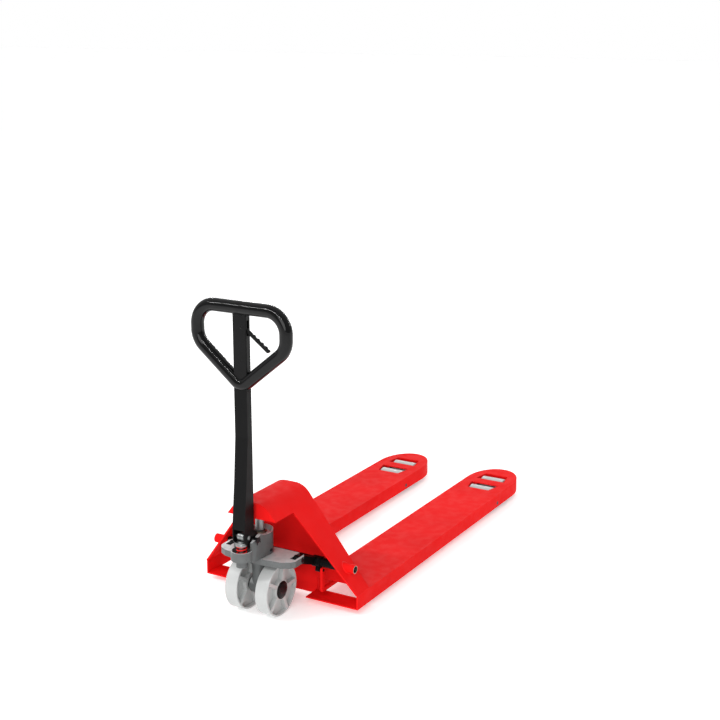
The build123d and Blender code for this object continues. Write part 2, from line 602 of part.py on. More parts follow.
def loop_tube():
    path = loop_path()
    start = Plane(origin=path @ 0, z_dir=path % 0)
    return sweep(start * Circle(LOOP_TUBE_R), path=path)


def handle_loop():
    return loop_tube() - disc_z(LOOP_X, ROD_Y, ROD_R + 1.5, 600, 800)


def column_profile():
    """Side view of the column: it deepens to the front towards its foot."""
    front = [(COLUMN_FRONT_X, 700), (COLUMN_FRONT_X, 556), (COLUMN_FRONT_X - 10, 430),
             (COLUMN_FRONT_X - 25, 286), (COLUMN_FRONT_X - 25, PIVOT_Z + 1)]
    return front


def foot_outline():
    front = column_profile()[3:]
    low = [(PIVOT_X - 18, PIVOT_Z - 18), (PIVOT_X + 18, PIVOT_Z - 18)]
    return front + low + [(PIVOT_X + 18, PIVOT_Z + 6), (COLUMN_BACK_X, PIVOT_Z + 30),
                          (COLUMN_BACK_X, 286)]


def handle_column():
    """Pressed channel, open at the back, whose side walls run down as feet."""
    front = column_profile()
    inner = [(x + COLUMN_SHEET, z) for x, z in front]
    web = plate_y(front[:4] + list(reversed(inner[:4])), -COLUMN_HALF_WIDTH, COLUMN_HALF_WIDTH)
    sides = []
    side = front[:4] + [(COLUMN_BACK_X, 286), (COLUMN_BACK_X, 700)]
    for outline in (side, foot_outline()):
        sides.append(plate_y(outline, COLUMN_HALF_WIDTH - COLUMN_SHEET, COLUMN_HALF_WIDTH))
    wall = sides[0] + sides[1]
    wall += disc_y(PIVOT_X, PIVOT_Z, 26, COLUMN_HALF_WIDTH - COLUMN_SHEET, COLUMN_HALF_WIDTH)
    back = block(COLUMN_BACK_X - COLUMN_SHEET, COLUMN_BACK_X, -COLUMN_HALF_WIDTH,
                 COLUMN_HALF_WIDTH, 292, LOOP_VERTEX_Z)
    shape = web + back + wall + mirrored(wall)
    shape -= disc_y(PIVOT_X, PIVOT_Z, PIVOT_R + RUNNING, -30, 30)
    shape -= disc_y(PUSH_X, PUSH_Z, 5, -30, 30)
    return shape - loop_tube()


def control_housing():
    z0, z1 = LOOP_VERTEX_Z + 5, LOOP_TOP_Z - 8
    shape = block(COLUMN_FRONT_X, COLUMN_BACK_X, -22.4, 22.4, z0, z1)
    shape = fillet(shape.edges().filter_by(Axis.Z), 3)
    shape -= block(COLUMN_FRONT_X + 4, COLUMN_BACK_X - 4, -18, 18, z0 - 1, z1 - 30)
    shape -= block(LOOP_X - 5, LOOP_X + 5, -30, -17, LEVER_Z - 25, LEVER_Z + 19)
    shape -= disc_x(LEVER_Y, LEVER_Z, LEVER_PIN_R)
    return shape - loop_tube()


def lever_pin():
    return disc_x(LEVER_Y, LEVER_Z, LEVER_PIN_R)


def release_rod():
    """Push rod inside the column, from the lever's inner arm to the foot."""
    rod = disc_z(LOOP_X, ROD_Y, ROD_R, 296, ROD_TOP)
    return rod + disc_z(LOOP_X, ROD_Y, ROD_R + 2, 296, 304)


def release_lever():
    """Finger paddle on the right of the housing, with its inner arm."""
    length = math.hypot(LEVER_TIP[0] - LEVER_Y, LEVER_TIP[1] - LEVER_Z)
    uy, uz = (LEVER_TIP[0] - LEVER_Y) / length, (LEVER_TIP[1] - LEVER_Z) / length

    def station(share, offset):
        """A point beside the lever's centre line, towards the bar above if positive."""
        y, z = LEVER_Y + uy * length * share, LEVER_Z + uz * length * share
        return (y + uz * offset, z - uy * offset)

    top = [station(share, offset) for share, offset in LEVER_TOP_EDGE]
    low = [station(share, -offset) for share, offset in LEVER_FINGER_EDGE]
    paddle = plate_x(top + list(reversed(low)), LOOP_X - 4.5, LOOP_X + 4.5)
    inner = plate_x([(LEVER_Y, LEVER_Z + 5.5), (LEVER_Y, LEVER_Z - 5.5),
                     (ROD_Y + 4, ROD_TOP + 1.7), (ROD_Y + 4, LEVER_Z + 4)],
                    LOOP_X - 4.5, LOOP_X + 4.5)
    inner += Pos(LOOP_X, LEVER_Y, LEVER_Z) * Rot(0, 90, 0) * Cylinder(6.5, 9)
    bore = disc_x(LEVER_Y, LEVER_Z, LEVER_PIN_R + RUNNING)
    return paddle + inner - bore


def make_handle():
    add("handle_loop", handle_loop())
    add("handle_column", handle_column())
    add("control_housing", control_housing())
    add("release_lever", release_lever())
    add("lever_pin", lever_pin())
    add("release_rod", release_rod())
    add("pivot_sleeve", ring_y(PIVOT_X, PIVOT_Z, 9.2, PIVOT_R + RUNNING,
                               COLUMN_SHEET - COLUMN_HALF_WIDTH,
                               COLUMN_HALF_WIDTH - COLUMN_SHEET))
    pin = disc_y(PUSH_X, PUSH_Z, 5, -COLUMN_HALF_WIDTH, COLUMN_HALF_WIDTH)
    head = disc_y(PUSH_X, PUSH_Z, 6.2, COLUMN_HALF_WIDTH, COLUMN_HALF_WIDTH + 2.5)
    add("push_roller_pin", pin + head + mirrored(head))
    add("push_roller", ring_y(PUSH_X, PUSH_Z, PUSH_R, 5 + RUNNING, -11, 11))


def main():
    make_chassis()
    make_base()
    make_rocker()
    make_load_ends()
    make_pump()
    make_handle()
    os.makedirs("parts", exist_ok=True)
    for name, shape in NODES.items():
        export_step(shape, f"parts/{name}.step")
    print(len(NODES), "nodes; rocker turn", round(ROCKER_TURN, 3), "arm turn",
          round(ARM_TURN, 3), "bar travel", round(BAR_TRAVEL, 3))


main()
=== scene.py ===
import json
import math

import bmesh
import bpy
from mathutils import Matrix, Vector


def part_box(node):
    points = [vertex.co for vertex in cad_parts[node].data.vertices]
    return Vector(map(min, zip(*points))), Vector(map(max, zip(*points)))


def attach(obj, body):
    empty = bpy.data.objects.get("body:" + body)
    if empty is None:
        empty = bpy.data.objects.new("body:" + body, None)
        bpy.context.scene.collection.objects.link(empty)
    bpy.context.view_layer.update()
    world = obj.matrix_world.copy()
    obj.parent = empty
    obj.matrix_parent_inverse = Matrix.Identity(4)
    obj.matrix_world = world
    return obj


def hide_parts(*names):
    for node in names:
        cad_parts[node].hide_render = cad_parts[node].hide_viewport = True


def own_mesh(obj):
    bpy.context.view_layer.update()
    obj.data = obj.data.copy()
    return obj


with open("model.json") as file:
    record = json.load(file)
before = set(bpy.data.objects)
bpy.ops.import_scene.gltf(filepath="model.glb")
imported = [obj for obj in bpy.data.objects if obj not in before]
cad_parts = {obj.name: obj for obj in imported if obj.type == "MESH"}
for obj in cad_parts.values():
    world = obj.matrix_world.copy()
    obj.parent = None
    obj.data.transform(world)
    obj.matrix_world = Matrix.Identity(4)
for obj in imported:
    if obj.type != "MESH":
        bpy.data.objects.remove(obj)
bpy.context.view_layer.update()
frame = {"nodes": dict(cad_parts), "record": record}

# Hand pallet truck. Metres, +X towards the fork tips, +Y left, +Z up.
# Camera
CAMERA_AT = (-3.6672, -2.1068, 1.7286)
CAMERA_TURN = math.radians(30.04)      # from +X towards +Y
CAMERA_DIP = math.radians(14.63)
CAMERA_LENS = 68.12

# Light: the direction from the object to each sun, its strength and its width in degrees
FRONT_SUN = ((-0.84, -0.36, 0.34), 1.12, 40)
KEY_SUN = ((-0.60, 0.48, 0.64), 0.35, 4)
# Strip lamps above and behind the handle: middle, half length, half width, power
NEAR_STRIP = ((-3.6, 0.5, 4.0), 3.2, 0.02, 120)
FAR_STRIP = ((3.2, 0.5, 1.7), 3.2, 0.02, 60)
HANDLE_MIDDLE = Vector((-0.68, 0.0, 0.80))
FAR_SIDE = Vector((0.84, 0.45, 0.30)).normalized()     # the studio is brighter on this side
WORLD_NEAR, WORLD_FAR = 0.31, 0.64
FLOOR_GLOW = 0.35

TAU = 2 * math.pi
CORNER_ANGLE = math.radians(35)        # above this, an edge is shaded as a corner
RUNNING_GAP = 0.00006
FORK_SHEET = 0.004
WELD_STEP = 0.0017                     # from ripple to ripple
EDGE_WIDTH = {"pump_casting": 0.0012, "thrust_plate": 0.0015, "control_housing": 0.0008}
PLAIN_EDGE = 0.0006


def centre_of(node):
    low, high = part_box(node)
    return (Vector(low) + Vector(high)) / 2


# ---------------------------------------------------------------- materials
def new_material(name):
    material = bpy.data.materials.new(name)
    material.use_nodes = True
    tree = material.node_tree
    tree.nodes.clear()
    out = tree.nodes.new("ShaderNodeOutputMaterial")
    shader = tree.nodes.new("ShaderNodeBsdfPrincipled")
    tree.links.new(shader.outputs[0], out.inputs[0])
    return material, tree, shader


def coordinates(tree, stretch=(1, 1, 1)):
    where = tree.nodes.new("ShaderNodeTexCoord")
    mapping = tree.nodes.new("ShaderNodeMapping")
    mapping.inputs["Scale"].default_value = stretch
    tree.links.new(where.outputs["Object"], mapping.inputs[0])
    return mapping.outputs[0]


def noise(tree, place, scale, detail=3.0, rough=0.5):
    node = tree.nodes.new("ShaderNodeTexNoise")
    node.inputs["Scale"].default_value = scale
    node.inputs["Detail"].default_value = detail
    node.inputs["Roughness"].default_value = rough
    tree.links.new(place, node.inputs["Vector"])
    return node.outputs["Fac"]


def ramp(tree, value, low, high, start=0.35, end=0.65):
    """A grey value as a blend of two colours or two numbers."""
    node = tree.nodes.new("ShaderNodeValToRGB")
    node.color_ramp.elements[0].position = start
    node.color_ramp.elements[1].position = end
    for element, colour in zip(node.color_ramp.elements, (low, high)):
        element.color = (*colour, 1) if isinstance(colour, tuple) else (colour, colour, colour, 1)
    tree.links.new(value, node.inputs[0])
    return node.outputs[0]


def mix(tree, share, first, second):
    node = tree.nodes.new("ShaderNodeMix")
    node.data_type = "RGBA"
    tree.links.new(share, node.inputs["Factor"])
    tree.links.new(first, node.inputs[6])
    tree.links.new(second, node.inputs[7])
    return node.outputs[2]


def add_bump(tree, shader, height, strength, distance):
    bump = tree.nodes.new("ShaderNodeBump")
    bump.inputs["Strength"].default_value = strength
    bump.inputs["Distance"].default_value = distance
    tree.links.new(height, bump.inputs["Height"])
    tree.links.new(bump.outputs[0], shader.inputs["Normal"])


def shade(colour, factor):
    return tuple(channel * factor for channel in colour)


def powder_coat(name, colour, gloss, specular=0.2, dust=0.0):
    """Sprayed and baked paint: faint orange peel, uneven gloss, fine specks."""
    material, tree, shader = new_material(name)
    place = coordinates(tree)
    tone = ramp(tree, noise(tree, place, 4.0), shade(colour, 0.94), shade(colour, 1.04))
    specks = ramp(tree, noise(tree, place, 420.0, 2.0), 0.0, 1.0, 0.70, 0.76)
    chips = ramp(tree, noise(tree, place, 60.0, 6.0), 0.0, 1.0, 0.74, 0.77)
    worn = ramp(tree, noise(tree, place, 9.0), shade(colour, 0.80), shade(colour, 0.9))
    tone = mix(tree, specks, tone, worn)
    if dust:
        grey = ramp(tree, noise(tree, place, 30.0), (dust, dust, dust), shade((dust,) * 3, 1.5))
        tone = mix(tree, chips, tone, grey)
    tree.links.new(tone, shader.inputs["Base Color"])
    rough = ramp(tree, noise(tree, place, 35.0, 5.0), gloss * 0.85, gloss * 1.2)
    tree.links.new(rough, shader.inputs["Roughness"])
    shader.inputs["Specular IOR Level"].default_value = specular
    add_bump(tree, shader, noise(tree, place, 380.0, 2.0), 0.10, 0.0004)
    return material


def moulded_plastic(name, colour, gloss, grain=900.0, grain_depth=0.08, specular=0.4):
    """Moulded plastic or nylon: fine grain, slight flow marks."""
    material, tree, shader = new_material(name)
    place = coordinates(tree)
    tone = ramp(tree, noise(tree, place, 14.0, 4.0), shade(colour, 0.93), shade(colour, 1.03))
    marks = ramp(tree, noise(tree, place, 70.0, 6.0, 0.7), shade(colour, 0.78), shade(colour, 0.9))
    share = ramp(tree, noise(tree, place, 26.0, 5.0), 0.0, 0.5, 0.62, 0.75)
    tree.links.new(mix(tree, share, tone, marks), shader.inputs["Base Color"])
    rough = ramp(tree, noise(tree, place, 50.0, 4.0), gloss * 0.85, gloss * 1.2)
    tree.links.new(rough, shader.inputs["Roughness"])
    shader.inputs["Specular IOR Level"].default_value = specular
    add_bump(tree, shader, noise(tree, place, grain, 2.0), grain_depth, 0.0003)
    return material


def cast_metal(name, colour, top_lit_colour, gloss):
    """Sand casting: dark lumpy sides with pits, and faces that point up painted paler as painted top
    light.
    """
    material, tree, shader = new_material(name)
    place = coordinates(tree)
    tone = ramp(tree, noise(tree, place, 24.0, 6.0), shade(colour, 0.9), shade(colour, 1.08))
    pits = ramp(tree, noise(tree, place, 240.0, 3.0), shade(colour, 0.7), shade(colour, 0.85))
    share = ramp(tree, noise(tree, place, 160.0, 2.0), 0.0, 0.7, 0.6, 0.72)
    skin = mix(tree, share, tone, pits)
    # painted top light: the colour turns to the paler grey as the face's true normal points up
    facing = tree.nodes.new("ShaderNodeNewGeometry")
    upward = tree.nodes.new("ShaderNodeSeparateXYZ")
    tree.links.new(facing.outputs["True Normal"], upward.inputs[0])
    top_light_share = ramp(tree, upward.outputs["Z"], 0.0, 1.0, 0.3, 0.85)
    top_lit_tone = ramp(tree, noise(tree, place, 55.0, 4.0), shade(top_lit_colour, 0.92), shade(top_lit_colour, 1.06))
    tree.links.new(mix(tree, top_light_share, skin, top_lit_tone), shader.inputs["Base Color"])
    rough = ramp(tree, noise(tree, place, 60.0, 3.0), gloss * 0.85, gloss * 1.2)
    tree.links.new(rough, shader.inputs["Roughness"])
    shader.inputs["Metallic"].default_value = 0.15
    add_bump(tree, shader, noise(tree, place, 300.0, 8.0, 0.65), 0.35, 0.0006)
    return material


def turned_metal(name, colour, gloss, stretch, depth=0.12):
    """Bare or plated metal with fine tool marks along one axis."""
    material, tree, shader = new_material(name)
    fine = coordinates(tree, stretch)
    place = coordinates(tree)
    tone = ramp(tree, noise(tree, fine, 40.0, 3.0), shade(colour, 0.88), shade(colour, 1.08))
    stain = ramp(tree, noise(tree, place, 40.0, 5.0), shade(colour, 0.6), shade(colour, 0.8))
    share = ramp(tree, noise(tree, place, 22.0, 4.0), 0.0, 0.5, 0.58, 0.75)
    tree.links.new(mix(tree, share, tone, stain), shader.inputs["Base Color"])
    rough = ramp(tree, noise(tree, fine, 60.0, 4.0), gloss * 0.75, gloss * 1.25)
    tree.links.new(rough, shader.inputs["Roughness"])
    shader.inputs["Metallic"].default_value = 1.0
    add_bump(tree, shader, noise(tree, fine, 90.0, 4.0), depth, 0.0002)
    return material


RED = (0.80, 0.010, 0.010)
BLACK = (0.0042, 0.0042, 0.0044)
GREY = (0.112, 0.118, 0.118)
# painted top light: the paler grey given to the casting's faces that point up
TOP_LIT_GREY = (0.54, 0.56, 0.56)
COATING_BLACK = (0.0028, 0.0028, 0.0030)
PLASTIC_BLACK = (0.0045, 0.0045, 0.0048)
STEEL = (0.30, 0.31, 0.31)
CHROME = (0.33, 0.34, 0.34)
BRONZE = (0.30, 0.27, 0.22)
SPRING_RED = (0.85, 0.018, 0.018)
NYLON = (0.50, 0.51, 0.505)
ALONG_Y, ALONG_Z = (1, 30, 1), (1, 1, 30)     # how tool marks are stretched

MATERIALS = {
    "red_paint": powder_coat("red_powder_coat", RED, 0.55, specular=0.03),
    "black_paint": powder_coat("black_powder_coat", BLACK, 0.34, specular=0.10, dust=0.012),
    "handle_coating": moulded_plastic("handle_coating", COATING_BLACK, 0.06, grain=90.0,
                                      grain_depth=0.01, specular=0.28),
    "black_plastic": moulded_plastic("black_plastic", PLASTIC_BLACK, 0.30, specular=0.14),
    "casting": cast_metal("grey_casting", GREY, TOP_LIT_GREY, 0.45),
    "steel": turned_metal("turned_steel", STEEL, 0.42, ALONG_Y),
    "ram_chrome": turned_metal("hard_chrome", CHROME, 0.5, ALONG_Z, 0.03),
    "bronze": turned_metal("bearing_bronze", BRONZE, 0.40, ALONG_Z),
    "spring_paint": powder_coat("spring_red", SPRING_RED, 0.35),
    "nylon": moulded_plastic("pale_nylon", NYLON, 0.34, 700.0, 0.06),
}
DARK_STEEL = turned_metal("blackened_steel", (0.045, 0.045, 0.05), 0.38, ALONG_Y)
RUBBER = moulded_plastic("seal_rubber", (0.02, 0.02, 0.02), 0.6)
WELD = powder_coat("painted_weld", RED, 0.42)
DARK_NODES = ("torsion_shaft", "arm_pivot_pins", "handle_pivot_pin", "wing_pins", "valve_lever",
              "bogie_left", "bogie_right", "load_arm_left", "load_arm_right")
SLOT_OF = {part["node"]: part["material_slot"] for part in frame["record"]["subparts"]}


def dress_cad_nodes():
    """Gives each CAD node its slot's material, or blackened steel if it is one of the dark nodes, and a
    small rounded edge.
    """
    for name, node in frame["nodes"].items():
        node.data.materials.clear()
        node.data.materials.append(DARK_STEEL if name in DARK_NODES else MATERIALS[SLOT_OF[name]])
        bevel = node.modifiers.new("edge", "BEVEL")
        bevel.width = EDGE_WIDTH.get(name, PLAIN_EDGE)
        bevel.segments = 2
        bevel.limit_method = "ANGLE"
        bevel.angle_limit = math.radians(40)
        bevel.use_clamp_overlap = True
        bevel.harden_normals = True


# ---------------------------------------------------------------- mesh helpers
def make_piece(name, bm, material, body, replaced=()):
    """Turns a bmesh into an object that rides a body, smooth except at its corners."""
    mesh = bpy.data.meshes.new(name)
    bmesh.ops.recalc_face_normals(bm, faces=bm.faces)
    bm.to_mesh(mesh)
    bm.free()
    for face in mesh.polygons:
        face.use_smooth = True
    mesh.set_sharp_from_angle(angle=CORNER_ANGLE)
    piece = bpy.data.objects.new(name, mesh)
    bpy.context.scene.collection.objects.link(piece)
    mesh.materials.append(material)
    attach(piece, body)
    if replaced:
        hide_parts(*replaced)
    return piece


def across(axis):
    """Two directions square to an axis."""
    axis = Vector(axis).normalized()
    side = axis.orthogonal().normalized()
    return axis, side, axis.cross(side)


def ring_of_points(bm, middle, side, up, radius, sides):
    points = []
    for k in range(sides):
        a = TAU * k / sides
        points.append(bm.verts.new(middle + (side * math.cos(a) + up * math.sin(a)) * radius))
    return points


def join_rings(bm, first, second):
    count = len(first)
    for k in range(count):
        n = (k + 1) % count
        bm.faces.new((first[k], first[n], second[n], second[k]))


def add_tube(bm, points, radius_at, sides=12, closed=False):
    """A tube through points; radius_at gives its radius at each point's number."""
    count = len(points)
    rings = []
    side = None
    for i, point in enumerate(points):
        before = points[i - 1] if (i or closed) else point
        after = points[(i + 1) % count] if (i < count - 1 or closed) else point
        along = (after - before).normalized()
        if side is None:
            side = along.orthogonal().normalized()
        side = (side - along * side.dot(along)).normalized()
        rings.append(ring_of_points(bm, point, side, along.cross(side), radius_at(i), sides))
    for first, second in zip(rings, rings[1:]):
        join_rings(bm, first, second)
    if closed:
        join_rings(bm, rings[-1], rings[0])
    else:
        bm.faces.new(list(reversed(rings[0])))
        bm.faces.new(rings[-1])


def add_lathe(bm, profile, origin, axis, sides=48, closed=False):
    """A turned piece: profile is (distance along axis, radius), from end to end or round."""
    axis, side, up = across(axis)
    rings = []
    for along, radius in profile:
        middle = Vector(origin) + axis * along
        if radius > 0:
            rings.append(ring_of_points(bm, middle, side, up, radius, sides))
        else:
            rings.append([bm.verts.new(middle)])
    pairs = list(zip(rings, rings[1:]))
    if closed:
        pairs.append((rings[-1], rings[0]))
    for first, second in pairs:
        if len(first) == len(second):
            join_rings(bm, first, second)
            continue
        tip, rim = (first, second) if len(first) == 1 else (second, first)
        for k in range(sides):
            bm.faces.new((tip[0], rim[k], rim[(k + 1) % sides]))


def washer_profile(low, high, inner, outer):
    """A flat ring with broken outer corners."""
    break_edge = min(0.15 * (high - low), 0.0004)
    return [(low, inner), (low, outer - break_edge), (low + break_edge, outer),
            (high - break_edge, outer), (high, outer - break_edge), (high, inner)]


def add_circlip(bm, middle, axis, inner, outer, thickness, open_at=-90.0):
    """A retaining ring: open at one side, with a drilled-ear bulge at each end."""
    axis, side, up = across(axis)
    half_gap, ear, stations = 32.0, 16.0, 48
    start, end = open_at + half_gap, open_at + 360 - half_gap
    sections = []
    for i in range(stations + 1):
        angle = start + (end - start) * i / stations
        from_end = min(angle - start, end - angle)
        bulge = (outer - inner) * 0.9 if from_end < ear else 0.0
        a = math.radians(angle)
        out = side * math.cos(a) + up * math.sin(a)
        corners = []
        far = outer + bulge
        for radius, along in ((inner, 0), (far, 0), (far, thickness), (inner, thickness)):
            corners.append(bm.verts.new(Vector(middle) + out * radius + axis * along))
        sections.append(corners)
    for first, second in zip(sections, sections[1:]):
        join_rings(bm, first, second)
    bm.faces.new(sections[0])
    bm.faces.new(list(reversed(sections[-1])))


def add_hex_bolt(bm, base, axis, radius, height):
    """A bolt head on its washer."""
    washer = height * 0.25
    add_lathe(bm, [(0, 0), (0, radius * 1.35), (washer, radius * 1.35), (washer, 0)], base, axis)
    top = washer + height
    add_lathe(bm, [(washer * 0.9, 0), (washer * 0.9, radius), (top - 0.2 * height, radius),
                   (top, radius * 0.86), (top, 0)], base, axis, sides=6)


def add_grease_nipple(bm, base, axis, size):
    """Hexagon, stem and ball end; size is the hexagon's radius."""
    add_lathe(bm, [(0, 0), (0, size), (size * 0.9, size), (size * 1.1, size * 0.8),
                   (size * 1.1, 0)], base, axis, sides=6)
    stem = [(size, 0), (size, size * 0.6), (size * 1.7, size * 0.5), (size * 1.9, size * 0.35),
            (size * 2.1, size * 0.35), (size * 2.3, size * 0.52), (size * 2.6, size * 0.52),
            (size * 2.85, size * 0.25), (size * 2.85, 0)]
    add_lathe(bm, stem, base, axis, sides=24)


def add_weld(bm, points, radius, closed=False):
    """A bead with the ripples of a hand-held torch."""
    def rippled(i):
        return radius * (1 + 0.13 * math.sin(1.9 * i) + 0.06 * math.sin(0.7 * i))
    add_tube(bm, points, rippled, sides=8, closed=closed)


def line_points(start, end, step):
    start, end = Vector(start), Vector(end)
    count = max(2, int((end - start).length / step))
    return [start.lerp(end, i / count) for i in range(count + 1)]


def rounded_corner(before, corner, after, radius, steps):
    """Points along the arc that rounds one corner of a path."""
    to_before, to_after = (before - corner).normalized(), (after - corner).normalized()
    half = to_before.angle(to_after) / 2
    reach = radius / math.tan(half)
    centre = corner + (to_before + to_after).normalized() * (radius / math.sin(half))
    start, end = corner + to_before * reach - centre, corner + to_after * reach - centre
    turn = math.pi - 2 * half
    normal = start.cross(end).normalized()
    return [centre + Matrix.Rotation(turn * i / steps, 3, normal) @ start for i in range(steps + 1)]


# ---------------------------------------------------------------- floor, light, camera
def make_floor():
    bm = bmesh.new()
    bmesh.ops.create_grid(bm, x_segments=2, y_segments=2, size=40)
    mesh = bpy.data.meshes.new("floor")
    bm.to_mesh(mesh)
    bm.free()
    floor = bpy.data.objects.new("floor", mesh)
    bpy.context.scene.collection.objects.link(floor)
    material, tree, shader = new_material("pale_floor")
    place = coordinates(tree)
    tone = ramp(tree, noise(tree, place, 1.5), (0.93, 0.93, 0.93), (0.96, 0.96, 0.96))
    tree.links.new(tone, shader.inputs["Base Color"])
    shader.inputs["Roughness"].default_value = 0.9
    shader.inputs["Specular IOR Level"].default_value = 0.1
    shader.inputs["Emission Color"].default_value = (1, 1, 1, 1)
    shader.inputs["Emission Strength"].default_value = FLOOR_GLOW
    mesh.materials.append(material)


def make_sun(name, towards, power, angle):
    """A distant lamp; towards points from the object to the lamp."""
    data = bpy.data.lights.new(name, "SUN")
    data.energy = power
    data.angle = math.radians(angle)
    lamp = bpy.data.objects.new(name, data)
    lamp.rotation_mode = "QUATERNION"
    lamp.rotation_quaternion = (-Vector(towards)).to_track_quat("-Z", "Y")
    bpy.context.scene.collection.objects.link(lamp)


def make_world():
    """White studio: plain white to the camera, and brighter at the far side as a light."""
    world = bpy.data.worlds.new("studio")
    world.use_nodes = True
    tree = world.node_tree
    background = tree.nodes["Background"]
    where = tree.nodes.new("ShaderNodeTexCoord")
    facing = tree.nodes.new("ShaderNodeVectorMath")
    facing.operation = "DOT_PRODUCT"
    facing.inputs[1].default_value = FAR_SIDE
    tree.links.new(where.outputs["Generated"], facing.inputs[0])
    spread = tree.nodes.new("ShaderNodeMapRange")
    spread.interpolation_type = "SMOOTHSTEP"
    spread.inputs["From Min"].default_value = -0.7
    spread.inputs["From Max"].default_value = 0.9
    spread.inputs["To Min"].default_value = WORLD_NEAR
    spread.inputs["To Max"].default_value = WORLD_FAR
    tree.links.new(facing.outputs["Value"], spread.inputs["Value"])
    rays = tree.nodes.new("ShaderNodeLightPath")
    strength = tree.nodes.new("ShaderNodeMix")
    strength.inputs[3].default_value = 1.0
    tree.links.new(rays.outputs["Is Camera Ray"], strength.inputs[0])
    tree.links.new(spread.outputs[0], strength.inputs[2])
    tree.links.new(strength.outputs[0], background.inputs["Strength"])
    background.inputs["Color"].default_value = (1, 1, 1, 1)
    bpy.context.scene.world = world


def make_strip(name, middle, half_length, half_width, power):
    """A long narrow lamp along Y, aimed at the handle: the highlight lines on the tubes."""
    data = bpy.data.lights.new(name, "AREA")
    data.shape = "RECTANGLE"
    data.size, data.size_y = 2 * half_width, 2 * half_length
    data.energy = power
    lamp = bpy.data.objects.new(name, data)
    lamp.location = middle
    lamp.rotation_mode = "QUATERNION"
    away = (Vector(middle) - HANDLE_MIDDLE).normalized()
    along = (Vector((0, 1, 0)) - away * away.y).normalized()
    lamp.rotation_quaternion = Matrix((along.cross(away), along, away)).transposed().to_quaternion()
    lamp.visible_camera = False
    bpy.context.scene.collection.objects.link(lamp)


def make_light():
    make_world()
    make_sun("front", *FRONT_SUN)
    make_sun("key", *KEY_SUN)
    make_strip("strip_near", *NEAR_STRIP)
    make_strip("strip_far", *FAR_STRIP)
    bpy.context.scene.view_settings.view_transform = "Standard"


def make_camera():
    data = bpy.data.cameras.new("camera")
    data.lens = CAMERA_LENS
    data.sensor_width = 36
    camera = bpy.data.objects.new("camera", data)
    flat = math.cos(CAMERA_DIP)
    look = Vector((flat * math.cos(CAMERA_TURN), flat * math.sin(CAMERA_TURN),
                   -math.sin(CAMERA_DIP)))
    camera.location = CAMERA_AT
    camera.rotation_mode = "QUATERNION"
    camera.rotation_quaternion = look.to_track_quat("-Z", "Y")
    bpy.context.scene.collection.objects.link(camera)
    bpy.context.scene.camera = camera


# ---------------------------------------------------------------- handle
LOOP_CORNERS = ((0.1475, 0.9255), (0.1475, 0.822), (0.0, 0.7004), (-0.1475, 0.822), (-0.1475, 0.9255))
LOOP_BENDS = (0.060, 0.060, 0.029, 0.060, 0.060)
LOOP_TUBE = 0.019
LOOP_X = centre_of("handle_loop").x
SEAM_HALF_WIDTH, SEAM_DEPTH = 0.0009, 0.0007
COLUMN_HALF_WIDTH = 0.0213
LOOP_WELD_HALF = 0.010


def loop_points():
    """The loop's centre line, with close stations at the seam in the top bar."""
    corners = [Vector((LOOP_X, y, z)) for y, z in LOOP_CORNERS]
    points = []
    for i, (corner, bend) in enumerate(zip(corners, LOOP_BENDS)):
        before, after = corners[i - 1], corners[(i + 1) % len(corners)]
        points += rounded_corner(before, corner, after, bend, 24)
    top = corners[0].z
    for y in (-0.04, -4 * SEAM_HALF_WIDTH, -2 * SEAM_HALF_WIDTH, -SEAM_HALF_WIDTH, SEAM_HALF_WIDTH,
              2 * SEAM_HALF_WIDTH, 4 * SEAM_HALF_WIDTH, 0.04):
        points.append(Vector((LOOP_X, y, top)))
    return points


def make_loop():
    """Coated tube bent into the grip, its ends butted in the middle of the top bar."""
    points = loop_points()
    top = max(point.z for point in points)

    def radius_at(i):
        in_seam = abs(points[i].y) < 1.5 * SEAM_HALF_WIDTH and top - points[i].z < 0.001
        return LOOP_TUBE - (SEAM_DEPTH if in_seam else 0)

    bm = bmesh.new()
    add_tube(bm, points, radius_at, sides=40, closed=True)
    make_piece("grip_loop", bm, MATERIALS["handle_coating"], "handle",
               ["handle_loop"])


def make_loop_welds():
    """Beads where the loop's point is let into the column."""
    column_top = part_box("handle_column")[1][2]
    bm = bmesh.new()
    for side in (-1, 1):
        y = side * (COLUMN_HALF_WIDTH - 0.0002)
        low = Vector((LOOP_X + LOOP_WELD_HALF, y, column_top - LOOP_WELD_HALF))
        add_weld(bm, line_points(low, low - Vector((2 * LOOP_WELD_HALF, 0, 0)), 0.0012), 0.0011)
    make_piece("loop_welds", bm, MATERIALS["black_paint"], "handle")


LEVER_PIVOT = centre_of("lever_pin")
LEVER_TIP = Vector((0, -0.093, 0.811))
LEVER_HALF_THICKNESS = 0.0048


def lever_profile(share):
    """Height of the lever above and below its centre line, with waves for four fingers."""
    above = 0.0046 + 0.0019 * math.sin(share * math.pi / 2)
    waves = 0.0018 * math.cos((share - 0.40) / 0.15 * TAU) if share > 0.32 else 0.0006
    below = 0.0044 + waves + 0.0010 * share
    end = max(0.0, (share - 0.94) / 0.06)
    shrink = math.sqrt(max(0.0, 1 - end * end * 0.92))
    return above * shrink, below * shrink


